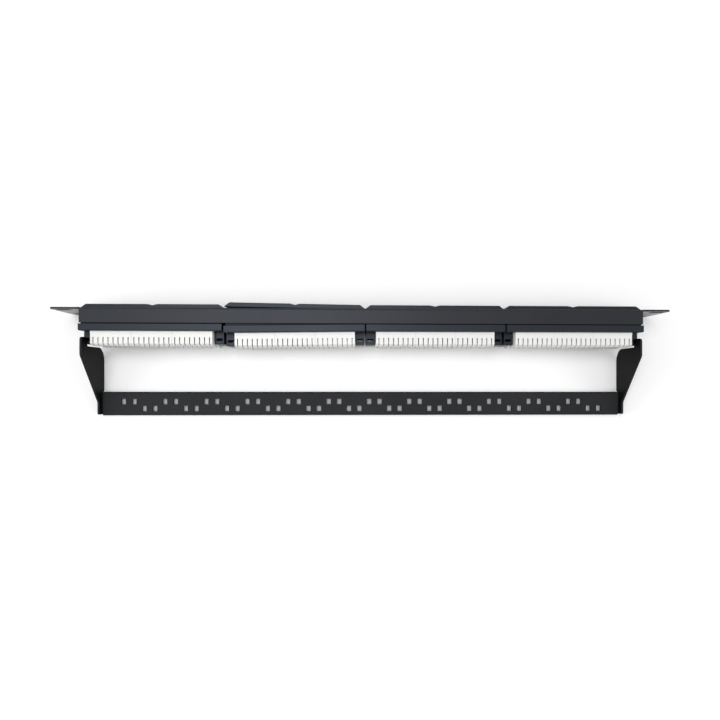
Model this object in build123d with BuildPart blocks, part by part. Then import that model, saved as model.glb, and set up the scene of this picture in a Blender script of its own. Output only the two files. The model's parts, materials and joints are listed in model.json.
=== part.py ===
from build123d import *
import os
from math import asin, degrees

os.makedirs("parts", exist_ok=True)

# A 24-port patch panel for a 19 inch rack, one unit high, in millimetres.
# X runs along the panel and Z points up. The front faces -Y.
# The origin is in the middle of the rack plane, where the ears' rear faces lie.
# A folded steel frame carries four six-port modules. Wires are pushed into
# the white blocks behind the modules, and a folded bar carries the cables.

# Steel frame. Its ears and slots come out at 482.6 mm overall and 465.1 by
# 31.75 mm between slots, as a 19 inch rack needs.
panel_height = 44.0
sheet = 1.5
body_inset = 1.4
flange_depth = 11.7
frame_bend = 1.5
ear_width = 22.3
ear_corner = 2.5
rack_slot_inset = 8.75
rack_slot_edge = 6.125
rack_slot_length = 12.0
rack_slot_width = 6.8

# General clearances
fit_gap = 0.2
loose_gap = 0.3

# Modules, with their port pitch
module_count = 4
module_gap = 1.3
ports_per_module = 6
port_pitch = 16.5

# Ganged jack: one moulding with six sockets
jack_end_wall = 2.3
jack_top = 1.4
jack_floor = 2.7
jack_back_wall = 3.4
socket_width = 11.9
socket_height = 7.0
socket_roof = 2.7
latch_width = 6.3
latch_drop = 1.7
latch_key_width = 3.8
latch_key_drop = 1.3

# Circuit board
board_thickness = 1.6

# Rear housing: a tray with a plug that fits the channel and a collar behind it
plug_side_gap = 2.5
plug_wall = 1.2
collar_side = 1.25
collar_gap = 0.8
collar_depth = 5.4
collar_rim = 3.2
collar_edge = 0.6
housing_back = 1.4
boss_wall = 1.2

# End posts of the rear housing, with a loop that takes the cable bar's hook
post_width = 6.8
post_inset = 0.2
post_side_gap = 0.5
post_height = 22.0
post_block_depth = 5.1
loop_depth = 4.7
loop_wall = 1.0
loop_rear_wall = 2.7
post_edge = 0.5

# Wire blocks with slots for eight wires, and tips that slope above and below
wires_per_block = 8
blocks_per_row = 3
wire_pitch = 3.81
block_end = 0.3
block_gap = 0.05
block_reach = 12.6
block_base_depth = 3.4
block_base_rise = 0.4
block_web = 2.8
row_gap = 9.2
slot_root = 0.8
slot_mouth = 0.5
tip_run = 1.5
tip_drop = 2.4

# Metal contacts at the roots of the wire slots
contact_thickness = 0.3
contact_height = 5.0
contact_inset = 2.0

# Front bezel with two label windows
bezel_gap = 0.2
bezel_rim = 1.5
bezel_depth = 3.3
bezel_skin = 1.8
bezel_end_run = 4.1
bezel_end_edge = 0.2
bezel_notch_width = 8.0
bezel_notch_depth = 1.0
bezel_edge = 0.5
port_window_margin = 0.5
label_side = 1.9
label_bar = 10.0
label_height = 10.5
label_above_jack = 2.6
strip_thickness = 0.3
cover_thickness = 1.0
cover_recess = 0.1
cover_gap = 0.05
peg_inset = 11.5
peg_width = 4.0
peg_height = 2.0
peg_gap = 0.4
peg_length = 7.0
peg_end_gap = 2.5

# The third module is not pressed home: its bezel and its rear part gape
# at the +X end and still touch at the other end.
loose_module_index = 2
bezel_gape = 1.7
housing_gape = 1.4

# Cable bar, one folded sheet with an arm at each end
bar_reach = 36.4
bar_depth = 19.5
bar_lip = 3.4
bar_bend = 1.6
arm_nose_lap = 0.4
arm_nose_corner = 3.0
arm_gap = 1.6
arm_toe_radius = 11.0
arm_shoulder = 7.2
arm_tail_start = 8.4
arm_tail_height = 10.4
arm_tail_corner = 1.6
arm_corner = 4.0
arm_tail_inset = 1.0
arm_relief = 1.2
hook_side_gap = 0.15
hook_length = 8.0
hook_tip = 1.0
tie_slot_width = 3.7
tie_slot_length = 4.7
tie_slot_spacing = 8.8
tie_pair_pitch = 17.0
tie_end_margin = 16.0
tie_front_inset = 8.0
tie_rear_inset = 5.7

# Heights that follow
half_height = panel_height / 2
channel_inside = panel_height - 2 * sheet
plug_height = channel_inside - 2 * loose_gap
board_height = plug_height - 2 * plug_wall - 2 * fit_gap
block_height = (panel_height - row_gap) / 2 - collar_rim - fit_gap
comb_height = block_height - 2 * block_base_rise
row_middle_z = (row_gap + block_height) / 2
jack_height = socket_roof + socket_height + latch_drop + latch_key_drop + jack_floor
jack_bottom = jack_top - jack_height
jack_middle_z = jack_top - jack_height / 2
socket_top = jack_top - socket_roof
latch_top = socket_top - socket_height
latch_key_top = latch_top - latch_drop
socket_bottom = latch_key_top - latch_key_drop
label_middle_z = jack_top + label_above_jack + label_height / 2
label_top = label_middle_z + label_height / 2
bezel_height = 2 * (max(label_top, loose_gap - jack_bottom) + bezel_rim)
peg_z = label_middle_z
boss_bottom = peg_z - peg_height / 2 - peg_gap - boss_wall
boss_height = plug_height / 2 - plug_wall - boss_bottom
post_top = post_height / 2
bar_top = -half_height + bar_lip
arm_tail_top = -half_height + arm_tail_height

# Widths that follow. The jack or the wire blocks set the housing's width,
# whichever need more, and the modules set the frame's.
jack_width = (ports_per_module - 1) * port_pitch + socket_width + 2 * jack_end_wall
block_width = wires_per_block * wire_pitch + 2 * block_end
block_pitch = block_width + block_gap
row_width = blocks_per_row * block_pitch - block_gap
width_for_jack = jack_width + 2 * (plug_side_gap + plug_wall + collar_side)
width_for_blocks = row_width + 2 * (post_side_gap + post_width + post_inset)
housing_width = max(width_for_jack, width_for_blocks)
plug_width = housing_width - 2 * collar_side
board_width = plug_width - 2 * plug_wall - 2 * fit_gap
module_pitch = housing_width + module_gap
bezel_width = module_pitch - bezel_gap
label_width = (bezel_width - 2 * (bezel_end_run + label_side) - label_bar) / 2
label_spacing = label_width + label_bar
peg_spacing = jack_width - 2 * peg_inset
boss_width = peg_width + 2 * peg_gap + 2 * boss_wall
body_width = module_count * module_pitch - 2 * body_inset
overall_width = body_width + 2 * ear_width
rack_spacing_x = overall_width - 2 * rack_slot_inset
rack_spacing_z = panel_height - 2 * rack_slot_edge
post_outer = housing_width / 2 - post_inset
post_inner = post_outer - post_width
end_module_x = (module_count - 1) / 2 * module_pitch
arm_outer = end_module_x + post_outer - loop_wall - hook_side_gap
arm_inner = arm_outer - sheet
tie_columns = int((2 * arm_inner - tie_end_margin) // (2 * tie_pair_pitch))

# Depths that follow, from the rack plane to the rear
face_front = -sheet
bezel_front = face_front - bezel_depth
jack_front = bezel_front + bezel_skin
label_depth = strip_thickness + cover_gap + cover_thickness + cover_recess
boss_depth = face_front + peg_length + peg_end_gap
flange_rear = face_front + flange_depth
collar_front = flange_rear + collar_gap
collar_rear = collar_front + collar_depth
board_rear = collar_rear - housing_back
board_front = board_rear - board_thickness
socket_depth = board_front - jack_back_wall - jack_front
block_base_rear = board_rear + block_base_depth
block_rear = board_rear + block_reach
slot_depth = block_reach - block_base_depth - block_web
slot_front = block_rear - slot_depth
contact_length = slot_depth - contact_inset
post_rear = collar_rear + post_block_depth
loop_rear = post_rear + loop_depth
pocket_rear = loop_rear - loop_rear_wall
hook_front = post_rear + fit_gap
hook_rear = pocket_rear - fit_gap
hook_middle = (hook_front + hook_rear) / 2
arm_nose_front = post_rear - arm_nose_lap
arm_front = loop_rear + arm_gap
arm_slope_start = arm_front + arm_shoulder
bar_front = arm_front + bar_reach
bar_rear = bar_front + bar_depth
arm_slope_end = bar_front + arm_tail_start
arm_tail_rear = bar_rear - arm_tail_inset


def export_piece(piece, name):
    piece.label = name
    export_step(piece, f"parts/{name}.step")


# Steel frame: a channel with an ear at each end
with BuildPart() as panel_frame:
    with BuildSketch(Plane.YZ.offset(-body_width / 2)):
        with BuildLine():
            Polyline(
                (flange_rear, half_height),
                (face_front, half_height),
                (face_front, -half_height),
                (flange_rear, -half_height),
                (flange_rear, -half_height + sheet),
                (0, -half_height + sheet),
                (0, half_height - sheet),
                (flange_rear, half_height - sheet),
                close=True,
            )
        make_face()
    extrude(amount=body_width)
    folds = panel_frame.edges().filter_by(Axis.X).group_by(Axis.Y)[0]
    fillet(folds, radius=frame_bend)

    # Ears
    with BuildSketch(Plane.XZ.offset(-face_front)):
        RectangleRounded(overall_width, panel_height, ear_corner)
        Rectangle(body_width, panel_height, mode=Mode.SUBTRACT)
    extrude(amount=-sheet)

    # Slots for the rack's screws
    with BuildSketch(Plane.XZ.offset(-face_front)):
        with GridLocations(rack_spacing_x, rack_spacing_z, 2, 2):
            SlotOverall(rack_slot_length, rack_slot_width)
    extrude(amount=-sheet, mode=Mode.SUBTRACT)

    # One window for each ganged jack, and two holes for its bezel's pegs
    with BuildSketch(Plane.XZ.offset(-face_front)):
        with GridLocations(module_pitch, 0, module_count, 1):
            with Locations((0, jack_middle_z)):
                Rectangle(jack_width + 2 * loose_gap, jack_height + 2 * loose_gap)
            with Locations((-peg_spacing / 2, peg_z), (peg_spacing / 2, peg_z)):
                Rectangle(peg_width + 2 * peg_gap, peg_height + 2 * peg_gap)
    extrude(amount=-sheet, mode=Mode.SUBTRACT)

export_piece(panel_frame.part, "panel_frame")

# Front bezel: a plan outline with cut corners and a shallow notch in the middle
with BuildPart() as front_bezel:
    with BuildSketch(Plane.XY.offset(-bezel_height / 2)):
        with BuildLine():
            Polyline(
                (-bezel_width / 2, face_front),
                (-bezel_width / 2, face_front - bezel_end_edge),
                (-bezel_width / 2 + bezel_end_run, bezel_front),
                (-bezel_notch_width / 2, bezel_front),
                (0, bezel_front + bezel_notch_depth),
                (bezel_notch_width / 2, bezel_front),
                (bezel_width / 2 - bezel_end_run, bezel_front),
                (bezel_width / 2, face_front - bezel_end_edge),
                (bezel_width / 2, face_front),
                close=True,
            )
        make_face()
    extrude(amount=bezel_height)
    front_faces = front_bezel.faces().filter_by(Axis.Y).group_by(Axis.Y)[0]
    chamfer(front_faces.edges().filter_by(Axis.X), length=bezel_edge)

    # Pocket for the nose of the ganged jack, open to the rear
    with BuildSketch(Plane.XZ.offset(-face_front)):
        with Locations((0, jack_middle_z)):
            Rectangle(jack_width + 2 * loose_gap, jack_height + 2 * loose_gap)
    extrude(amount=bezel_depth - bezel_skin, mode=Mode.SUBTRACT)

    # One window for each socket
    with BuildSketch(Plane.XZ.offset(-bezel_front)):
        with Locations((0, (socket_top + socket_bottom) / 2)):
            with GridLocations(port_pitch, 0, ports_per_module, 1):
                Rectangle(
                    socket_width + 2 * port_window_margin,
                    socket_top - socket_bottom + 2 * port_window_margin,
                )
    extrude(amount=-bezel_skin, mode=Mode.SUBTRACT)

    # Recesses for the label strips and their covers
    with BuildSketch(Plane.XZ.offset(-bezel_front)):
        with Locations((0, label_middle_z)):
            with GridLocations(label_spacing, 0, 2, 1):
                Rectangle(label_width, label_height)
    extrude(amount=-label_depth, mode=Mode.SUBTRACT)

    # Pegs that pass through the frame into the rear housing
    with BuildSketch(Plane.XZ.offset(-face_front)):
        with Locations((0, peg_z)):
            with GridLocations(peg_spacing, 0, 2, 1):
                Rectangle(peg_width, peg_height)
    extrude(amount=-peg_length)

# Paper strips at the bottom of the label recesses
with BuildPart() as label_strips:
    with BuildSketch(Plane.XZ.offset(-(bezel_front + label_depth))):
        with Locations((0, label_middle_z)):
            with GridLocations(label_spacing, 0, 2, 1):
                Rectangle(label_width - 2 * fit_gap, label_height - 2 * fit_gap)
    extrude(amount=strip_thickness)

# Clear covers over the strips
with BuildPart() as label_covers:
    with BuildSketch(Plane.XZ.offset(-(bezel_front + cover_recess + cover_thickness))):
        with Locations((0, label_middle_z)):
            with GridLocations(label_spacing, 0, 2, 1):
                Rectangle(label_width - 2 * fit_gap, label_height - 2 * fit_gap)
    extrude(amount=cover_thickness)

# Ganged jack: each socket is a wide bay with a stepped way for the plug's latch
with BuildPart() as jack_gang:
    with BuildSketch(Plane.XZ.offset(-jack_front)):
        with Locations((0, jack_middle_z)):
            Rectangle(jack_width, jack_height)
    extrude(amount=jack_front - board_front)
    with BuildSketch(Plane.XZ.offset(-jack_front)):
        with GridLocations(port_pitch, 0, ports_per_module, 1):
            with Locations((0, socket_top - socket_height / 2)):
                Rectangle(socket_width, socket_height)
            with Locations((0, latch_top - latch_drop / 2)):
                Rectangle(latch_width, latch_drop)
            with Locations((0, latch_key_top - latch_key_drop / 2)):
                Rectangle(latch_key_width, latch_key_drop)
    extrude(amount=-socket_depth, mode=Mode.SUBTRACT)

# Circuit board between the jack and the wire blocks
with BuildPart() as circuit_board:
    with BuildSketch(Plane.XZ.offset(-board_front)):
        Rectangle(board_width, board_height)
    extrude(amount=-board_thickness)

# Rear housing
with BuildPart() as rear_housing:
    with BuildSketch(Plane.XZ.offset(-collar_front)):
        Rectangle(housing_width, panel_height)
    extrude(amount=collar_front - collar_rear)
    chamfer(rear_housing.edges().group_by(Axis.Y)[-1], length=collar_edge)
    with BuildSketch(Plane.XZ):
        Rectangle(plug_width, plug_height)
    extrude(amount=-collar_front)
    with BuildSketch(Plane.XZ):
        Rectangle(plug_width - 2 * plug_wall, plug_height - 2 * plug_wall)
    extrude(amount=-board_rear, mode=Mode.SUBTRACT)

    # Windows in the rear wall for the two rows of wire blocks
    with BuildSketch(Plane.XZ.offset(-board_rear)):
        with GridLocations(0, 2 * row_middle_z, 1, 2):
            Rectangle(row_width + 2 * fit_gap, block_height + 2 * fit_gap)
    extrude(amount=board_rear - collar_rear, mode=Mode.SUBTRACT)

    # Posts at both ends, each with a loop behind it
    with BuildSketch(Plane.XZ.offset(-collar_rear)):
        with GridLocations(post_outer + post_inner, 0, 2, 1):
            Rectangle(post_width, post_height)
    extrude(amount=collar_rear - loop_rear)
    post_ends = rear_housing.edges().group_by(Axis.Y)[-1].filter_by(Axis.X)
    chamfer(post_ends, length=post_edge)
    with BuildSketch(Plane.XY.offset(-post_top)):
        with Locations((0, (post_rear + pocket_rear) / 2)):
            with GridLocations(post_outer + post_inner, 0, 2, 1):
                Rectangle(post_width - 2 * loop_wall, pocket_rear - post_rear)
    extrude(amount=post_height, mode=Mode.SUBTRACT)

    # Bosses under the plug's roof that the bezel's pegs go into
    with BuildSketch(Plane.XZ):
        with Locations((0, boss_bottom + boss_height / 2)):
            with GridLocations(peg_spacing, 0, 2, 1):
                Rectangle(boss_width, boss_height)
        with Locations((0, peg_z)):
            with GridLocations(peg_spacing, 0, 2, 1):
                Rectangle(peg_width + 2 * peg_gap, peg_height + 2 * peg_gap, mode=Mode.SUBTRACT)
    extrude(amount=-boss_depth)

# Wire block: a comb with sloping tips on a base that is a little taller
with BuildPart() as wire_block:
    with BuildSketch(Plane.YZ.offset(-block_width / 2)):
        with BuildLine():
            Polyline(
                (board_rear, 0),
                (board_rear, block_height / 2),
                (block_base_rear, block_height / 2),
                (block_base_rear, comb_height / 2),
                (block_rear - tip_run, comb_height / 2),
                (block_rear, comb_height / 2 - tip_drop),
                (block_rear, 0),
            )
            mirror(about=Plane.XZ)
        make_face()
    extrude(amount=block_width)

    # Slots that hold the wires, narrower at the mouth
    with BuildSketch(Plane.XY.offset(-comb_height / 2)):
        with Locations((0, slot_front)):
            with GridLocations(wire_pitch, 0, wires_per_block, 1):
                Polygon(
                    (-slot_root / 2, 0),
                    (slot_root / 2, 0),
                    (slot_mouth / 2, slot_depth),
                    (-slot_mouth / 2, slot_depth),
                    align=None,
                )
    extrude(amount=comb_height, mode=Mode.SUBTRACT)

# Contacts of one module, standing on the roots of the wire slots
with BuildPart() as wire_contacts:
    with BuildSketch(Plane.XZ.offset(-slot_front)):
        with GridLocations(block_pitch, 2 * row_middle_z, blocks_per_row, 2):
            with GridLocations(wire_pitch, 0, wires_per_block, 1):
                Rectangle(contact_thickness, contact_height)
    extrude(amount=-contact_length)

# Cable bar: the plate with its folded lips, then the arms
with BuildPart() as cable_bar:
    with BuildSketch(Plane.YZ.offset(-arm_inner)):
        with BuildLine():
            Polyline(
                (bar_front, -half_height),
                (bar_front, bar_top),
                (bar_rear, bar_top),
                (bar_rear, -half_height),
                (bar_rear - sheet, -half_height),
                (bar_rear - sheet, bar_top - sheet),
                (bar_front + sheet, bar_top - sheet),
                (bar_front + sheet, -half_height),
                close=True,
            )
        make_face()
    extrude(amount=2 * arm_inner)
    top_folds = cable_bar.edges().filter_by(Axis.X).group_by(Axis.Z)[-1]
    fillet(top_folds, radius=bar_bend)

    for arm_start in (-arm_outer, arm_inner):
        with BuildSketch(Plane.YZ.offset(arm_start)) as arm_sketch:
            with BuildLine():
                Polyline(
                    (arm_nose_front, post_top),
                    (arm_nose_front, half_height),
                    (arm_slope_start, half_height),
                    (arm_slope_end, arm_tail_top),
                    (arm_tail_rear, arm_tail_top),
                    (arm_tail_rear, bar_top - sheet),
                    (bar_front, bar_top - sheet),
                    (bar_front - arm_relief, -half_height),
                    (arm_front, -half_height),
                    (arm_front, post_top),
                    (hook_rear, post_top),
                    (hook_middle + hook_tip / 2, post_top - hook_length),
                    (hook_middle - hook_tip / 2, post_top - hook_length),
                    (hook_front, post_top),
                    close=True,
                )
            make_face()
            for corner, radius in (
                ((arm_nose_front, half_height), arm_nose_corner),
                ((arm_slope_start, half_height), arm_corner),
                ((arm_slope_end, arm_tail_top), arm_corner),
                ((arm_tail_rear, arm_tail_top), arm_tail_corner),
                ((arm_front, -half_height), arm_toe_radius),
            ):
                fillet(arm_sketch.vertices().sort_by_distance(corner)[0], radius)
        extrude(amount=sheet)

    # Holes for cable ties: pairs in two staggered rows
    with BuildSketch(Plane.XY.offset(bar_top)):
        for row_place in (
            (tie_pair_pitch / 2, bar_front + tie_front_inset),
            (-tie_pair_pitch / 2, bar_rear - tie_rear_inset),
        ):
            with Locations(row_place):
                with GridLocations(2 * tie_pair_pitch, 0, tie_columns, 1):
                    with GridLocations(tie_slot_spacing, 0, 2, 1):
                        Rectangle(tie_slot_width, tie_slot_length)
    extrude(amount=-sheet, mode=Mode.SUBTRACT)

export_piece(cable_bar.part, "cable_bar")


def turned(pivot_x, pivot_y, angle):
    """A turn about an upright line through the pivot."""
    return Location((pivot_x, pivot_y, 0), (0, 0, angle)) * Location((-pivot_x, -pivot_y, 0))


# The four modules. The loose one turns about the corners that still touch.
bezel_turn = -degrees(asin(bezel_gape / bezel_width))
housing_turn = degrees(asin(housing_gape / housing_width))
for module in range(module_count):
    place = Location((module * module_pitch - end_module_x, 0, 0))
    front_place = place
    rear_place = place
    if module == loose_module_index:
        front_place = place * turned(-bezel_width / 2, face_front, bezel_turn)
        rear_place = place * turned(-plug_width / 2, 0, housing_turn)
    number = module + 1
    for piece, name in (
        (front_bezel, "front_bezel"),
        (label_strips, "label_strips"),
        (label_covers, "label_covers"),
    ):
        export_piece(piece.part.moved(front_place), f"{name}_{number}")
    for piece, name in (
        (jack_gang, "jack_gang"),
        (circuit_board, "circuit_board"),
        (rear_housing, "rear_housing"),
        (wire_contacts, "wire_contacts"),
    ):
        export_piece(piece.part.moved(rear_place), f"{name}_{number}")
    for row, row_z in (("upper", row_middle_z), ("lower", -row_middle_z)):
        for block in range(blocks_per_row):
            block_x = (block - (blocks_per_row - 1) / 2) * block_pitch
            block_place = rear_place * Location((block_x, 0, row_z))
            export_piece(wire_block.part.moved(block_place), f"wire_block_{number}_{row}_{block + 1}")
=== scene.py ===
# %% [markdown]
# # A patch panel, dressed and lit
#
# This lesson takes a finished CAD model of a one-unit patch panel and turns it
# into a picture. The panel is a folded steel frame with four groups of six
# sockets. White wire blocks stand behind the sockets, and a slotted bar carries
# the cables.
#
# The CAD solids already have the right shapes, so most of the work is in the
# surfaces, the edges, the light and the small metal parts that are too fine
# for the CAD model.

import json
from math import cos, pi, radians, sin

import bpy
import numpy as np
from mathutils import Matrix, Vector


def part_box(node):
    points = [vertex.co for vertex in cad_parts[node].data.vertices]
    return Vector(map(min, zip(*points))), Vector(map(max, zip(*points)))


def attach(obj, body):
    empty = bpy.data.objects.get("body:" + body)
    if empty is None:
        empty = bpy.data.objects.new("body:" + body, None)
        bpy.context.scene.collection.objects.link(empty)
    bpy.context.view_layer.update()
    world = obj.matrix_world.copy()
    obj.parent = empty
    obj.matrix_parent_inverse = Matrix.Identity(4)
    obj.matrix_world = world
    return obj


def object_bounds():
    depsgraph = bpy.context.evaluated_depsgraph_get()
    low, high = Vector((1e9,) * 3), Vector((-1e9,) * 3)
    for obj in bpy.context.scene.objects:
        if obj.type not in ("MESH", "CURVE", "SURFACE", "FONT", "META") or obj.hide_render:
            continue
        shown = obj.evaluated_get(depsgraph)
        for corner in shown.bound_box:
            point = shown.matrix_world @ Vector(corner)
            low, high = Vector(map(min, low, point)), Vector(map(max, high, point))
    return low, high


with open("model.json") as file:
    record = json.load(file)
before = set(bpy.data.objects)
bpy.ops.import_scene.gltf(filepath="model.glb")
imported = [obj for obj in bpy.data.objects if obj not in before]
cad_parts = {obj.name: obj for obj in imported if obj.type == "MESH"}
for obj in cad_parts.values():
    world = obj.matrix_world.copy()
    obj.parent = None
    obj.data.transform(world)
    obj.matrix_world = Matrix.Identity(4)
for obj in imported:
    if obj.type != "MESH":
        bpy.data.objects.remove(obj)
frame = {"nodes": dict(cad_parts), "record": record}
nodes = frame["nodes"]
cad_low, cad_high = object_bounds()
mm = 0.001
print("solids from CAD:", len(nodes))
print("size in mm:", [round(v / mm, 1) for v in cad_high - cad_low])

# %% [markdown]
# ## Where the camera stands
#
# The panel lies on its lower flange and is seen from straight above, with its
# sockets towards the top of the picture. A camera that stands half a metre
# up sees a little of the rear of the ears and of the wire blocks. It could be
# tilted to bring the panel to the middle of the picture, but then the long
# edges would no longer run level. A lens shift moves the picture without
# tilting it, as on a view camera. The camera looks a little askew along the
# panel, so that the left end comes out slightly larger than the right.

# %% The camera
camera_place = Vector((12.0, 53.6, 497.5)) * mm
camera_askew = radians(-2.056)
camera_roll = radians(180.04)
camera_data = bpy.data.cameras.new("camera")
camera_data.lens = 30.652
camera_data.sensor_width = 36.0
camera_data.shift_x = -0.0166
camera_data.shift_y = 0.0268
camera_data.clip_start = 10 * mm
camera = bpy.data.objects.new("camera", camera_data)
camera.location = camera_place
camera.rotation_euler = (0.0, camera_askew, camera_roll)
bpy.context.scene.collection.objects.link(camera)
bpy.context.scene.camera = camera
bpy.context.scene.view_settings.view_transform = "Standard"
print("camera height in mm:", round(camera.location.z / mm))

# %% [markdown]
# ## The light
#
# Black paint shows its shape only by what it mirrors, so the light matters
# more than the colour. A soft box hangs over the panel, a little to the left
# of the picture's middle and nearer the sockets: its reflection lies along the
# top of the steel, fades towards the ends and leaves the cable bar darker. Two
# lower boxes at the sides throw the soft shadows of the arms onto the table.
# Point lamps would make hard spots instead. The lamps themselves are hidden
# from the camera, which may look round the panel.

# %% Soft boxes
def soft_box(name, place, size, power, target=(0.0, 0.03, 0.0)):
    """A rectangular lamp that looks at a point of the panel."""
    data = bpy.data.lights.new(name, "AREA")
    data.shape = "RECTANGLE"
    data.size, data.size_y = size
    data.energy = power
    lamp = bpy.data.objects.new(name, data)
    lamp.location = place
    aim = Vector(target) - lamp.location
    lamp.rotation_euler = aim.to_track_quat("-Z", "Y").to_euler()
    lamp.visible_camera = False
    bpy.context.scene.collection.objects.link(lamp)
    return lamp


soft_box("soft_box_over", place=(0.20, -0.12, 1.15), size=(0.60, 0.48), power=6.9)
soft_box("soft_box_left", place=(1.2, 0.15, 0.65), size=(0.6, 0.6), power=4.2)
soft_box("soft_box_right", place=(-1.2, 0.15, 0.65), size=(0.6, 0.6), power=4.2)

# %% [markdown]
# ## Rays that are seen
#
# A white studio should look white without throwing all that light onto the
# panel. Blender can answer the two questions apart: a Light Path node says
# what sort of ray has arrived. Rays from the camera, from something shiny and
# from something clear are the ones whose colour is seen. The world and the
# table both need this, so it's a helper.

# %% A helper for seen rays
def seen_rays(tree):
    """1 for a ray that comes from the camera, a mirror or a pane, else 0."""
    path = tree.nodes.new("ShaderNodeLightPath")
    either = tree.nodes.new("ShaderNodeMath")
    either.operation = "MAXIMUM"
    tree.links.new(path.outputs["Is Camera Ray"], either.inputs[0])
    tree.links.new(path.outputs["Is Glossy Ray"], either.inputs[1])
    any_of = tree.nodes.new("ShaderNodeMath")
    any_of.operation = "MAXIMUM"
    tree.links.new(either.outputs[0], any_of.inputs[0])
    tree.links.new(path.outputs["Is Transmission Ray"], any_of.inputs[1])
    return any_of.outputs[0]


print("helper ready: seen rays")

# %% [markdown]
# ## The white surroundings
#
# The world is two backgrounds, mixed by the helper. The weak one gives the
# panel a mild light from all round, and the full white one is what the camera
# and the shiny paint see.

# %% World
fill_strength = 0.42
seen_strength = 1.0
white = (1.0, 1.0, 1.0, 1.0)
world = bpy.data.worlds.new("studio")
bpy.context.scene.world = world
world.use_nodes = True
world_nodes, world_links = world.node_tree.nodes, world.node_tree.links
world_nodes.clear()
world_out = world_nodes.new("ShaderNodeOutputWorld")
world_mix = world_nodes.new("ShaderNodeMixShader")
world_links.new(seen_rays(world.node_tree), world_mix.inputs["Fac"])
for socket, strength in ((1, fill_strength), (2, seen_strength)):
    background = world_nodes.new("ShaderNodeBackground")
    background.inputs["Color"].default_value = white
    background.inputs["Strength"].default_value = strength
    world_links.new(background.outputs[0], world_mix.inputs[socket])
world_links.new(world_mix.outputs[0], world_out.inputs["Surface"])
print("world fill:", fill_strength)

# %% [markdown]
# ## The table
#
# The panel lies on one large flat sheet. Its surface is a hair below the
# panel's lowest face, because two surfaces in the same plane fight over which
# of them is seen. The sheet is matt and mirrors nothing, like paper.

# %% The sheet
table_half = 4.0
table_gap = 0.05 * mm
floor_z = cad_low.z - table_gap
round_the_sheet = ((-1, -1), (1, -1), (1, 1), (-1, 1))
floor_mesh = bpy.data.meshes.new("floor")
floor_mesh.from_pydata(
    [(table_half * x, table_half * y, floor_z) for x, y in round_the_sheet], [], [(0, 1, 2, 3)]
)
floor = bpy.data.objects.new("floor", floor_mesh)
bpy.context.scene.collection.objects.link(floor)
floor_paint = bpy.data.materials.new("white_table")
floor_paint.use_nodes = True
tree = floor_paint.node_tree
sheet = tree.nodes["Principled BSDF"]
sheet.inputs["Roughness"].default_value = 0.9
sheet.inputs["Specular IOR Level"].default_value = 0.0
floor_mesh.materials.append(floor_paint)
print("floor at mm:", round(floor_z / mm, 2))

# %% [markdown]
# ## Ranges
#
# Many finishes below take a measure, such as a distance, and turn it into a
# share of colour or gloss. A Map Range node does that. Its four limits are
# set in the same way each time, so a short helper sets them.

# %% A helper for ranges
def map_range(tree, value, low=0.0, high=1.0, at_low=0.0, at_high=1.0):
    """A node that moves a value from low..high to at_low..at_high."""
    node = tree.nodes.new("ShaderNodeMapRange")
    node.inputs["From Min"].default_value = low
    node.inputs["From Max"].default_value = high
    node.inputs["To Min"].default_value = at_low
    node.inputs["To Max"].default_value = at_high
    tree.links.new(value, node.inputs["Value"])
    return node


print("helper ready: ranges")

# %% [markdown]
# ## Painted shade in closed places on the table
#
# Through the slots of the bar the table would shine like small lamps. An
# ambient occlusion node measures how much of the sky each point sees, as far
# as its distance reaches. Where little of it is left, under the bar and the
# housings, the sheet's own white is painted down to grey: a painted shade,
# the shadow put into the table's colour.

# %% Painted shade on the sheet
near_by = 14 * mm
closed_place, painted_shade_tone = 0.1, 0.30
open_place, open_tone = 0.55, 0.86
open_sky = tree.nodes.new("ShaderNodeAmbientOcclusion")
open_sky.samples = 16
open_sky.inputs["Distance"].default_value = near_by
# painted shade: the table's colour runs from grey to white with the open sky
painted_shade_ramp = tree.nodes.new("ShaderNodeValToRGB")
stops = painted_shade_ramp.color_ramp.elements
stops[0].position = closed_place
stops[0].color = (painted_shade_tone, painted_shade_tone, painted_shade_tone, 1.0)
stops[1].position = open_place
stops[1].color = (open_tone, open_tone, open_tone, 1.0)
tree.links.new(open_sky.outputs["AO"], painted_shade_ramp.inputs["Fac"])
tree.links.new(painted_shade_ramp.outputs["Color"], sheet.inputs["Base Color"])
print("tone of the sheet:", painted_shade_tone, "to", open_tone)

# %% [markdown]
# ## Glow of the table
#
# A matt white sheet alone would come out grey at this level of light, and
# stronger lamps would burn out the wire blocks. So the sheet adds a little
# glow for the rays that are seen. The same measure of open sky takes the glow
# away in closed places, a painted shade, so the panel keeps its shadow.
# Further out, where no shadow falls, the glow grows to full white, so that
# from a low angle the table runs into the white studio without a line. A
# curved paper backdrop does the same job in a real studio, but only for one
# direction of view.

# %% Glow
near_edge, far_edge = 0.25, 1.0
near_glow, far_glow = 0.17, 1.0
spot = tree.nodes.new("ShaderNodeTexCoord")
reach = tree.nodes.new("ShaderNodeVectorMath")
reach.operation = "LENGTH"
tree.links.new(spot.outputs["Object"], reach.inputs[0])
spread = map_range(tree, reach.outputs["Value"], near_edge, far_edge, near_glow, far_glow)
# painted shade: the glow is multiplied by the open sky, so closed places lose it
shaded_glow = tree.nodes.new("ShaderNodeMath")
shaded_glow.operation = "MULTIPLY"
tree.links.new(spread.outputs["Result"], shaded_glow.inputs[0])
tree.links.new(open_sky.outputs["AO"], shaded_glow.inputs[1])
glow = tree.nodes.new("ShaderNodeMath")
glow.operation = "MULTIPLY"
tree.links.new(seen_rays(tree), glow.inputs[0])
tree.links.new(shaded_glow.outputs[0], glow.inputs[1])
sheet.inputs["Emission Color"].default_value = white
tree.links.new(glow.outputs[0], sheet.inputs["Emission Strength"])
print("glow near the panel and far off:", near_glow, far_glow)

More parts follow.
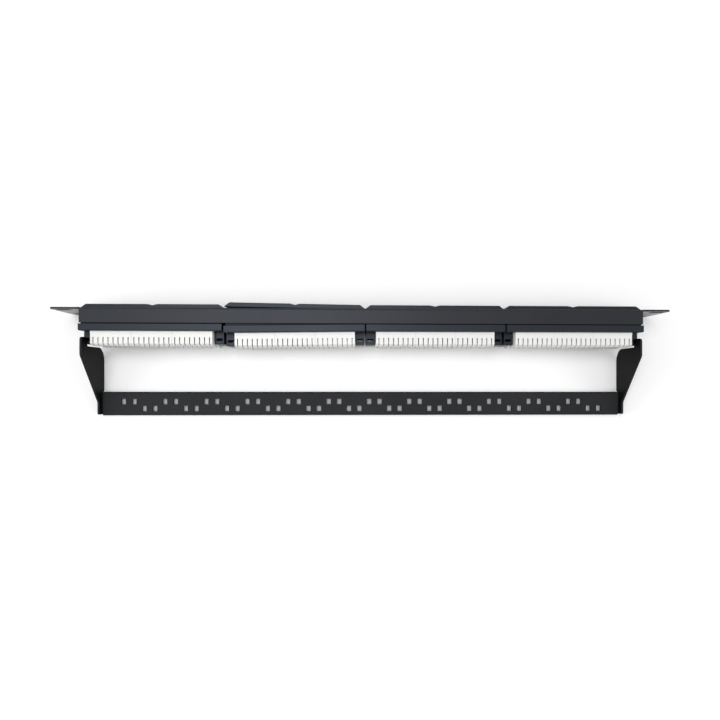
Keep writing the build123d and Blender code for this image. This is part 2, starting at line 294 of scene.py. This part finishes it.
# %% [markdown]
# ## How the finishes are made
#
# Every finish here starts from one Principled shader. Noise that is fixed to
# the object, and not to a picture, varies its colour and its gloss a little,
# and a second, much finer noise bends the light as the grain of the surface
# does. All sizes are per metre, because the model is in metres.

# %% A helper for finishes
def finish(name, dark, light, patch, rough, grain, grain_depth, metallic=0.0, mirror=0.5):
    """A material whose colour and gloss wander between two values.

    patch and grain are the scales of the two noises, per metre, and
    grain_depth is the height of the grain in metres. mirror is how much a
    surface that isn't metal reflects, where 0.5 is plain plastic or glass.
    """
    made = bpy.data.materials.new(name)
    made.use_nodes = True
    tree = made.node_tree
    new, link = tree.nodes.new, tree.links.new
    shader = tree.nodes["Principled BSDF"]
    shader.inputs["Metallic"].default_value = metallic
    shader.inputs["Specular IOR Level"].default_value = mirror
    where = new("ShaderNodeTexCoord")
    cloud = new("ShaderNodeTexNoise")
    cloud.inputs["Scale"].default_value = patch
    cloud.inputs["Detail"].default_value = 4.0
    link(where.outputs["Object"], cloud.inputs["Vector"])
    tint = new("ShaderNodeValToRGB")
    tint.color_ramp.elements[0].position = 0.3
    tint.color_ramp.elements[0].color = (*dark, 1.0)
    tint.color_ramp.elements[1].position = 0.7
    tint.color_ramp.elements[1].color = (*light, 1.0)
    link(cloud.outputs["Fac"], tint.inputs["Fac"])
    link(tint.outputs["Color"], shader.inputs["Base Color"])
    gloss = map_range(tree, cloud.outputs["Fac"], at_low=rough[0], at_high=rough[1])
    link(gloss.outputs["Result"], shader.inputs["Roughness"])
    fine = new("ShaderNodeTexNoise")
    fine.inputs["Scale"].default_value = grain
    fine.inputs["Detail"].default_value = 2.0
    link(where.outputs["Object"], fine.inputs["Vector"])
    bump = new("ShaderNodeBump")
    bump.inputs["Strength"].default_value = 1.0
    bump.inputs["Distance"].default_value = grain_depth
    link(fine.outputs["Fac"], bump.inputs["Height"])
    link(bump.outputs["Normal"], shader.inputs["Normal"])
    return made


print("helper ready: finishes")

# %% [markdown]
# ## Painted shade in gaps
#
# The grooves between the steel and the housings, and the slots of the wire
# blocks, are narrow. On the real panel they read as thin dark lines of shade.
# A clean glossy material would send glints back out of them, because the
# white studio is mirrored even there. So a finish can be given painted gap
# shade: ambient occlusion finds the points that have a wall close by, and
# there the gloss goes and the colour is painted darker, a painted shade.
# Painting the lines in by hand would tie them to one place, and this follows
# the shape.

# %% A helper for gaps
def scale_colour(made, share):
    """Multiply the colour of a finish by a share that varies."""
    tree = made.node_tree
    colour = tree.nodes["Principled BSDF"].inputs["Base Color"]
    scaled = tree.nodes.new("ShaderNodeVectorMath")
    scaled.operation = "SCALE"
    tree.links.new(colour.links[0].from_socket, scaled.inputs[0])
    tree.links.new(share, scaled.inputs["Scale"])
    tree.links.new(scaled.outputs["Vector"], colour)


def paint_gap_shade(made, reach, least):
    """Paint shade into narrow gaps: the gloss goes and the colour is painted down.

    reach is how far off a wall still counts as near, and least is the share
    of the colour that the painted shade leaves at the bottom of a gap.
    """
    tree = made.node_tree
    sky = tree.nodes.new("ShaderNodeAmbientOcclusion")
    sky.samples = 8
    sky.inputs["Distance"].default_value = reach
    opened = map_range(tree, sky.outputs["AO"], low=0.15, high=0.75).outputs["Result"]
    # painted shade: the colour is multiplied down where walls are near
    scale_colour(made, map_range(tree, opened, at_low=least).outputs["Result"])
    roughness = tree.nodes["Principled BSDF"].inputs["Roughness"]
    dulled = map_range(tree, opened, at_low=1.0)
    tree.links.new(roughness.links[0].from_socket, dulled.inputs["To Max"])
    tree.links.new(dulled.outputs["Result"], roughness)


print("helper ready: quiet gaps")

# %% [markdown]
# ## Painted shade on the sides, and rubbed rears
#
# Two things on the steel depend on the way a face looks. The sides and edges
# are painted a deeper black than the faces that look up, a painted shade
# where less light falls on them. And the rears of the ears are rubbed
# smoother than the rest, as by the rails of a rack. Both masks read the
# direction that a face looks in, which is fixed to the object.

# %% Helpers for the way a face looks
def looks(made, axis, low, high, at_low, at_high):
    """A value that grows with how much a face looks along an axis."""
    tree = made.node_tree
    facing = tree.nodes.new("ShaderNodeTexCoord")
    split = tree.nodes.new("ShaderNodeSeparateXYZ")
    tree.links.new(facing.outputs["Normal"], split.inputs[0])
    return map_range(tree, split.outputs[axis], low, high, at_low, at_high).outputs["Result"]


def paint_side_shade(made, share):
    """Paint shade on the faces that do not look up: they keep only a share of their colour."""
    scale_colour(made, looks(made, "Z", low=0.4, high=0.95, at_low=share, at_high=1.0))


def rub_rear(made, smooth):
    """Rub the faces that look to the rear down to a lower roughness."""
    tree = made.node_tree
    roughness = tree.nodes["Principled BSDF"].inputs["Roughness"]
    rubbed = tree.nodes.new("ShaderNodeMath")
    rubbed.operation = "MULTIPLY"
    tree.links.new(roughness.links[0].from_socket, rubbed.inputs[0])
    rear = looks(made, "Y", low=0.6, high=0.95, at_low=1.0, at_high=smooth)
    tree.links.new(rear, rubbed.inputs[1])
    tree.links.new(rubbed.outputs[0], roughness)


print("helpers ready: deeper sides, rubbed rear")

# %% [markdown]
# ## Painted steel
#
# The frame and the cable bar are sheet steel with black powder paint. Powder
# melts into a skin with soft dimples under a millimetre wide, like an orange's
# peel. A glossy black would look like lacquer, so the gloss is kept low and
# the dimples shallow. Most of what the eye sees on black paint is what it
# mirrors, so its own colour is nearly nothing and the mirroring is turned down
# as well: at a glancing angle the paint would otherwise shine like the table.
# The cable bar was painted duller than the frame, so it gets a finish of its
# own. What both mirror has a faint blue cast.

# %% Painted steel
def tint_mirroring(made, colour):
    """Give what a finish mirrors a faint colour."""
    shader = made.node_tree.nodes["Principled BSDF"]
    shader.inputs["Specular Tint"].default_value = (*colour, 1.0)


painted_steel = finish(
    "painted_steel",
    dark=(0.0068, 0.0071, 0.0088),
    light=(0.0095, 0.0099, 0.0118),
    patch=22.0,
    rough=(0.40, 0.49),
    grain=1500.0,
    grain_depth=0.010 * mm,
    mirror=0.30,
)
tint_mirroring(painted_steel, (0.84, 0.89, 1.0))
# painted shade: the sides and edges of the steel are darker than its top
paint_side_shade(painted_steel, share=0.4)
rub_rear(painted_steel, smooth=0.6)
# painted shade in the gaps of the steel
paint_gap_shade(painted_steel, reach=2.5 * mm, least=0.3)
dull_steel = finish(
    "dull_painted_steel",
    dark=(0.0230, 0.0235, 0.0255),
    light=(0.0285, 0.0292, 0.0315),
    patch=22.0,
    rough=(0.43, 0.52),
    grain=1500.0,
    grain_depth=0.010 * mm,
    mirror=0.05,
)
tint_mirroring(dull_steel, (0.86, 0.92, 1.0))
# painted shade: the sides of the cable bar and its arms are darker than its top
paint_side_shade(dull_steel, share=0.14)
for made in (painted_steel, dull_steel):
    print("finish:", made.name)

# %% [markdown]
# ## Moulded plastics
#
# The bezels and the rear housings are black plastic from a lightly spark-eroded
# mould, so their grain is much finer than the paint's. The ganged sockets are a
# plainer, duller black. The wire blocks are white, a touch warm, and smooth.

# %% Plastics
black_plastic = finish(
    "black_plastic",
    dark=(0.0072, 0.0084, 0.0112),
    light=(0.0100, 0.0115, 0.0150),
    patch=30.0,
    rough=(0.36, 0.46),
    grain=5200.0,
    grain_depth=0.004 * mm,
    mirror=0.28,
)
tint_mirroring(black_plastic, (0.75, 0.86, 1.0))
# painted shade in the gaps of the plastic
paint_gap_shade(black_plastic, reach=2.5 * mm, least=0.2)
socket_plastic = finish(
    "socket_plastic",
    dark=(0.006, 0.006, 0.007),
    light=(0.009, 0.009, 0.010),
    patch=40.0,
    rough=(0.45, 0.55),
    grain=4200.0,
    grain_depth=0.004 * mm,
    mirror=0.35,
)
white_plastic = finish(
    "white_plastic",
    dark=(0.79, 0.79, 0.77),
    light=(0.83, 0.83, 0.81),
    patch=35.0,
    rough=(0.38, 0.48),
    grain=3600.0,
    grain_depth=0.003 * mm,
)
# painted shade in the slots of the wire blocks
paint_gap_shade(white_plastic, reach=1.5 * mm, least=0.45)
for made in (black_plastic, socket_plastic, white_plastic):
    print("finish:", made.name)

# %% [markdown]
# ## Circuit board
#
# The circuit board wears green lacquer over copper tracks, which show through
# as lighter bands. A brick texture stands in for the tracks: its mortar is the
# track, and its bricks are the bare board in two close greens. It takes the
# place of the helper's colours, while the helper's cloud still moves the
# gloss. The texture is laid flat, so it's turned to face the front first.

# %% Board
board_green = finish(
    "board_green",
    dark=(0.006, 0.060, 0.024),
    light=(0.010, 0.085, 0.034),
    patch=60.0,
    rough=(0.22, 0.32),
    grain=900.0,
    grain_depth=0.004 * mm,
)
tree = board_green.node_tree
tracks = tree.nodes.new("ShaderNodeTexBrick")
tracks.inputs["Scale"].default_value = 130.0
tracks.inputs["Mortar Size"].default_value = 0.09
tracks.inputs["Color1"].default_value = (0.008, 0.075, 0.030, 1.0)
tracks.inputs["Color2"].default_value = (0.006, 0.062, 0.026, 1.0)
tracks.inputs["Mortar"].default_value = (0.020, 0.140, 0.055, 1.0)
turned = tree.nodes.new("ShaderNodeMapping")
turned.inputs["Rotation"].default_value = (radians(90), 0.0, 0.0)
where = tree.nodes.new("ShaderNodeTexCoord")
tree.links.new(where.outputs["Object"], turned.inputs["Vector"])
tree.links.new(turned.outputs["Vector"], tracks.inputs["Vector"])
tree.links.new(tracks.outputs["Color"], tree.nodes["Principled BSDF"].inputs["Base Color"])
print("finish:", board_green.name)

# %% [markdown]
# ## Paper and clear covers
#
# The label strips are plain uncoated paper, and a clear, slightly uneven cover
# lies over each. A cover that let everything through would not be seen, so it
# has the refraction of acrylic, which brightens its edges.

# %% Paper and covers
label_paper = finish(
    "label_paper",
    dark=(0.74, 0.73, 0.70),
    light=(0.80, 0.79, 0.76),
    patch=420.0,
    rough=(0.85, 0.95),
    grain=2600.0,
    grain_depth=0.010 * mm,
)
clear_cover = finish(
    "clear_cover",
    dark=(0.94, 0.95, 0.95),
    light=(0.98, 0.98, 0.98),
    patch=30.0,
    rough=(0.04, 0.09),
    grain=240.0,
    grain_depth=0.003 * mm,
)
clear_shader = clear_cover.node_tree.nodes["Principled BSDF"]
clear_shader.inputs["Transmission Weight"].default_value = 1.0
clear_shader.inputs["IOR"].default_value = 1.49
for made in (label_paper, clear_cover):
    print("finish:", made.name)

# %% [markdown]
# ## Contact metal
#
# The forks in the wire slots are tinned, and the springs in the sockets are
# gilt. Both are thin stampings or wire with a faint drawn grain, so the gloss
# wanders more than the colour.

# %% Metals
tinned = finish(
    "tinned_bronze",
    dark=(0.42, 0.40, 0.36),
    light=(0.52, 0.50, 0.46),
    patch=900.0,
    rough=(0.30, 0.46),
    grain=6000.0,
    grain_depth=0.002 * mm,
    metallic=1.0,
)
gilt = finish(
    "gilt_bronze",
    dark=(0.72, 0.52, 0.22),
    light=(0.86, 0.64, 0.30),
    patch=900.0,
    rough=(0.16, 0.30),
    grain=6000.0,
    grain_depth=0.002 * mm,
    metallic=1.0,
)
for made in (tinned, gilt):
    print("finish:", made.name)

# %% [markdown]
# ## Finishes onto the solids
#
# The record lists which finish each solid has, so the solids are dressed from
# that list and nothing is named twice. Only the cable bar differs from it,
# because its paint is the duller one.

# %% Dress the solids
finish_for = {
    "painted_steel": painted_steel,
    "black_plastic": black_plastic,
    "socket_plastic": socket_plastic,
    "white_plastic": white_plastic,
    "board": board_green,
    "contact_metal": tinned,
    "paper": label_paper,
    "clear_plastic": clear_cover,
}
subparts = frame["record"]["subparts"]
for part in subparts:
    chosen = dull_steel if part["node"] == "cable_bar" else finish_for[part["material_slot"]]
    solid = nodes[part["node"]]
    solid.data.materials.clear()
    solid.data.materials.append(chosen)
print("dressed:", len(subparts))

# %% [markdown]
# ## Softened edges
#
# A real fold, a moulded corner and a sheared edge all have a small radius that
# catches the light as a thin bright line. CAD edges are perfectly sharp and
# catch none. The radii could be drawn in CAD, but they would cost thousands of
# faces, so they are made here by modifiers: the triangles are welded, flat ones
# are joined, and the edges that are left get a narrow bevel.

# %% Bevels
weld_within = 0.01 * mm
flat_within = radians(1)
sharp_from = radians(35)


def soften(solid, width):
    """A narrow rounding on every sharp edge of a solid."""
    weld = solid.modifiers.new("weld", "WELD")
    weld.merge_threshold = weld_within
    flat = solid.modifiers.new("flat", "DECIMATE")
    flat.decimate_type = "DISSOLVE"
    flat.angle_limit = flat_within
    bevel = solid.modifiers.new("bevel", "BEVEL")
    bevel.width = width
    bevel.segments = 2
    bevel.limit_method = "ANGLE"
    bevel.angle_limit = sharp_from
    bevel.harden_normals = True


edge_width_mm = {
    "panel_frame": 0.3,
    "cable_bar": 0.22,
    "front_bezel": 0.2,
    "rear_housing": 0.32,
    "jack_gang": 0.12,
    "wire_block": 0.1,
}
softened = 0
for name, solid in nodes.items():
    for start, width in edge_width_mm.items():
        if name.startswith(start):
            soften(solid, width * mm)
            softened += 1
print("softened:", softened)

# %% [markdown]
# ## Where the small pieces go
#
# The springs, the combs and the printed numbers belong to the modules, and one
# module sits a little askew. Its turn could be typed in by hand, but then it
# would be wrong as soon as the module is moved. So it's read from the solid:
# the largest flat piece of the front face tells which way the module looks,
# and the box around the solid, turned back by that angle, tells its middle.

# %% The seat of a module
nearly_front = -0.9


def seat(solid):
    """The place of the middle of a solid's front face, with X along it."""
    fronts = [face for face in solid.data.polygons if face.normal.y < nearly_front]
    facing = max(fronts, key=lambda face: face.area).normal
    turn = Matrix.Rotation(np.arctan2(facing.x, -facing.y), 4, "Z")
    corners = np.array([turn.inverted() @ point.co for point in solid.data.vertices])
    low, high = corners.min(axis=0), corners.max(axis=0)
    return turn @ Matrix.Translation(Vector(((low[0] + high[0]) / 2, low[1], 0.0)))


modules = range(1, 5)
gang_seats = {module: seat(nodes[f"jack_gang_{module}"]) for module in modules}
bezel_seats = {module: seat(nodes[f"front_bezel_{module}"]) for module in modules}
for module, place in gang_seats.items():
    print("module", module, "turned by degrees:", round(np.degrees(place.to_euler().z), 2))

# %% [markdown]
# ## Rows about a middle
#
# Sockets, springs, ribs and joints all stand in even rows about the middle of
# something, so one helper gives the places of such a row. The distance between
# two sockets is read from the record, which lists each socket's opening.

# %% Rows
def row(count, pitch):
    """The places of an even row of pieces about its middle."""
    return [(number - (count - 1) / 2) * pitch for number in range(count)]


ports = 6
sockets = {hole["name"]: hole["box_m"] for hole in frame["record"]["physics"]["openings"]}
port_pitch = sockets["socket_02"][0][0] - sockets["socket_01"][0][0]
port_row = row(ports, port_pitch)
print("port pitch in mm:", round(port_pitch / mm, 2))

# %% [markdown]
# ## How the small pieces are put together
#
# A module has 48 springs, and a separate object for each would bury the
# outliner. They never move by themselves, so each kind of small piece is one
# mesh for each module. The helper takes a shape's points and faces, copies
# them to every place and hangs the result on the panel.

# %% A helper for repeated pieces
def repeat(name, points, faces, places, paint):
    """One object with a copy of a shape at each place."""
    all_points, all_faces = [], []
    for place in places:
        start = len(all_points)
        all_points += [place @ Vector(point) for point in points]
        all_faces += [[start + corner for corner in face] for face in faces]
    mesh = bpy.data.meshes.new(name)
    mesh.from_pydata(all_points, [], all_faces)
    mesh.materials.append(paint)
    piece = bpy.data.objects.new(name, mesh)
    bpy.context.scene.collection.objects.link(piece)
    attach(piece, "root")
    return piece


print("helper ready: repeated pieces")

# %% [markdown]
# ## Springs in the sockets
#
# Behind the mouth of a network socket lie eight gilt springs. Each is a wire
# that comes forward under the roof, turns back in a tight bend and slopes down
# into the hole, where the plug's blades press on it. First comes the line
# that the wire follows. It lies in one plane, seen from the side, so two
# numbers for each point are enough: how far behind the mouth, and how high.

# %% The line of one spring
socket_roof = -1.3 * mm
socket_depth = 13.0 * mm
wire_radius = 0.17 * mm
wire_gap = 0.04 * mm
tip_gap = 0.03 * mm
bend_radius = 0.55 * mm
bend_y = 1.3 * mm
bend_z = socket_roof - wire_radius - wire_gap - bend_radius
bend_steps = 8
slope = radians(25)
leg_length = 8.2 * mm
line = [(socket_depth - tip_gap, bend_z + bend_radius)]
for step in range(bend_steps + 1):
    angle = radians(90) + step / bend_steps * (radians(180) - slope)
    line.append((bend_y + bend_radius * cos(angle), bend_z + bend_radius * sin(angle)))
line.append((line[-1][0] + leg_length * cos(slope), line[-1][1] - leg_length * sin(slope)))
print("spring reaches down to mm:", round(line[-1][1] / mm, 2))

# %% [markdown]
# ## The wire round the line
#
# A curve with a bevel would draw such a wire, but 192 curves are slow to change
# into meshes. One wire is swept here instead: a ring of six points
# stands square to the line at each of its points, and faces join each ring to
# the next. Because the line lies in one plane, the rings need no twist.

# %% Sweep the spring
sides = 6
line = np.array(line)
along = np.gradient(line, axis=0)
along /= np.linalg.norm(along, axis=1)[:, None]
wire_points, wire_faces = [], []
for (y, z), (ty, tz) in zip(line, along):
    for side in range(sides):
        angle = 2 * pi * side / sides
        across, out = wire_radius * cos(angle), wire_radius * sin(angle)
        wire_points.append((across, y - tz * out, z + ty * out))
for ring in range(len(line) - 1):
    for side in range(sides):
        near, far = ring * sides, (ring + 1) * sides
        after = (side + 1) % sides
        wire_faces.append((near + side, near + after, far + after, far + side))
wire_faces.append(tuple(reversed(range(sides))))
wire_faces.append(tuple(range(len(wire_points) - sides, len(wire_points))))
print("points and faces of one spring:", len(wire_points), len(wire_faces))

# %% [markdown]
# ## Eight springs in every socket
#
# The contacts of such a socket stand 1.02 mm apart. The swept wire is smooth
# shaded along its length, while its cut ends stay sharp.

# %% Springs
wires = 8
wire_pitch = 1.02 * mm
for module in modules:
    places = [
        gang_seats[module] @ Matrix.Translation((port_x + wire_x, 0.0, 0.0))
        for port_x in port_row
        for wire_x in row(wires, wire_pitch)
    ]
    springs = repeat(
        f"socket_springs_{module}", wire_points, wire_faces, places, gilt
    )
    springs.data.shade_smooth()
    springs.data.set_sharp_from_angle(angle=radians(50))
print("springs:", len(modules) * ports * wires)

# %% [markdown]
# ## Combs behind the springs
#
# A plastic comb at the back of the socket keeps the tips of the springs apart.
# Its ribs are thin plates with a sloping front, nine in each socket, so that
# every tip has a rib on both sides. The outline of a rib is drawn from the
# side, as the spring's line was, and a plate joins two copies of it.

# %% Ribs of the combs
ribs = wires + 1
rib_thickness = 0.3 * mm
rib_gap = 0.02 * mm
rib_back = socket_depth - rib_gap
rib_top = socket_roof - rib_gap
rib_outline = [
    (rib_back, rib_top),
    (9.3 * mm, rib_top),
    (8.7 * mm, -5.6 * mm),
    (9.5 * mm, -6.8 * mm),
    (rib_back, -6.8 * mm),
]
rib_points = [(side * rib_thickness / 2, y, z) for side in (-1, 1) for y, z in rib_outline]
corners = len(rib_outline)
rib_faces = [tuple(range(corners)), tuple(reversed(range(corners, 2 * corners)))]
for corner in range(corners):
    after = (corner + 1) % corners
    rib_faces.append((corner, corner + corners, after + corners, after))
for module in modules:
    places = [
        gang_seats[module] @ Matrix.Translation((port_x + rib_x, 0.0, 0.0))
        for port_x in port_row
        for rib_x in row(ribs, wire_pitch)
    ]
    repeat(
        f"spring_combs_{module}", rib_points, rib_faces, places, socket_plastic
    )
print("ribs:", len(modules) * ports * ribs)

# %% [markdown]
# ## Solder joints
#
# The legs of the wire blocks go through the circuit board and are soldered on
# its front, above and below the sockets. A joint is a small round cone of tin
# around the end of a leg, with sides that curve in a little. Three rings of
# points give that shape.

# %% The shape of a solder joint
joint_sides = 8
joint_rings_mm = ((0.8, 0.0), (0.45, 0.35), (0.25, 0.7))
joint_points, joint_faces = [], []
for radius, height in joint_rings_mm:
    for side in range(joint_sides):
        angle = 2 * pi * side / joint_sides
        joint_points.append((radius * mm * cos(angle), -height * mm, radius * mm * sin(angle)))
for ring in range(len(joint_rings_mm) - 1):
    near, far = ring * joint_sides, (ring + 1) * joint_sides
    for side in range(joint_sides):
        after = (side + 1) % joint_sides
        joint_faces.append((near + side, near + after, far + after, far + side))
joint_faces.append(tuple(range(len(joint_points) - joint_sides, len(joint_points))))
print("points and faces of one joint:", len(joint_points), len(joint_faces))

# %% [markdown]
# ## Joints on every board
#
# Each wire slot has one leg, so the joints follow the slots: eight for each
# wire block and three blocks in a row. Two neighbours stand at different
# heights, because the holes would otherwise be too close together for the
# tracks. How far the board lies behind the sockets is read from the solids.

# %% Joints
board_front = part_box("circuit_board_1")[0].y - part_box("jack_gang_1")[0].y
blocks, block_pitch = 3, 31.13 * mm
legs, leg_pitch = 8, 3.81 * mm
joint_step = 1.6 * mm
upper_row, lower_row = 8.0 * mm, -15.6 * mm
for module in modules:
    places = []
    for block_x in row(blocks, block_pitch):
        for leg, leg_x in enumerate(row(legs, leg_pitch)):
            for level, outward in ((upper_row, 1), (lower_row, -1)):
                height = level + leg % 2 * joint_step * outward
                spot = Matrix.Translation((block_x + leg_x, board_front, height))
                places.append(gang_seats[module] @ spot)
    joints = repeat(
        f"solder_joints_{module}", joint_points, joint_faces, places, tinned
    )
    joints.data.shade_smooth()
print("solder joints:", len(modules) * len(places))

# %% [markdown]
# ## Port numbers
#
# The ports of such a panel are numbered from left to right in plain figures,
# printed in white between the labels and the sockets. An image texture would
# blur close up and would have to travel with the model. Blender's own letters
# are outlines, so each figure becomes a flat mesh, a hundredth of a millimetre
# or two proud of the plastic, like ink. The labels above are left blank for
# whoever wires the rack.

# %% White ink
print_white = finish(
    "print_white",
    dark=(0.60, 0.60, 0.58),
    light=(0.70, 0.70, 0.68),
    patch=700.0,
    rough=(0.50, 0.65),
    grain=5000.0,
    grain_depth=0.002 * mm,
)
print("finish:", print_white.name)

# %% [markdown]
# ## The figures
#
# Blender lays letters flat on the ground, so they are stood up to face the
# front and put on the seat of their bezel. The object that holds the letters
# is only a mould: its outline is filled to a mesh and then it's thrown away.

# %% Printed numbers
figure_size = 2.9 * mm
figure_base = 0.5 * mm
ink = 0.02 * mm
stood_up = Matrix.Rotation(radians(90), 4, "X")
for module in modules:
    points, faces = [], []
    for port, port_x in enumerate(port_row):
        letters = bpy.data.curves.new("letters", "FONT")
        letters.body = str((module - 1) * ports + port + 1)
        letters.size = figure_size
        letters.align_x = "CENTER"
        letters.resolution_u = 3
        mould = bpy.data.objects.new("letters", letters)
        flat = bpy.data.meshes.new_from_object(mould)
        place = bezel_seats[module] @ Matrix.Translation((port_x, -ink, figure_base)) @ stood_up
        start = len(points)
        points += [place @ point.co for point in flat.vertices]
        faces += [[start + corner for corner in face.vertices] for face in flat.polygons]
        bpy.data.objects.remove(mould)
        bpy.data.meshes.remove(flat)
        bpy.data.curves.remove(letters)
    as_printed = [Matrix.Identity(4)]
    numbers = repeat(
        f"port_numbers_{module}", points, faces, as_printed, print_white
    )
    print(numbers.name, "faces:", len(numbers.data.polygons))
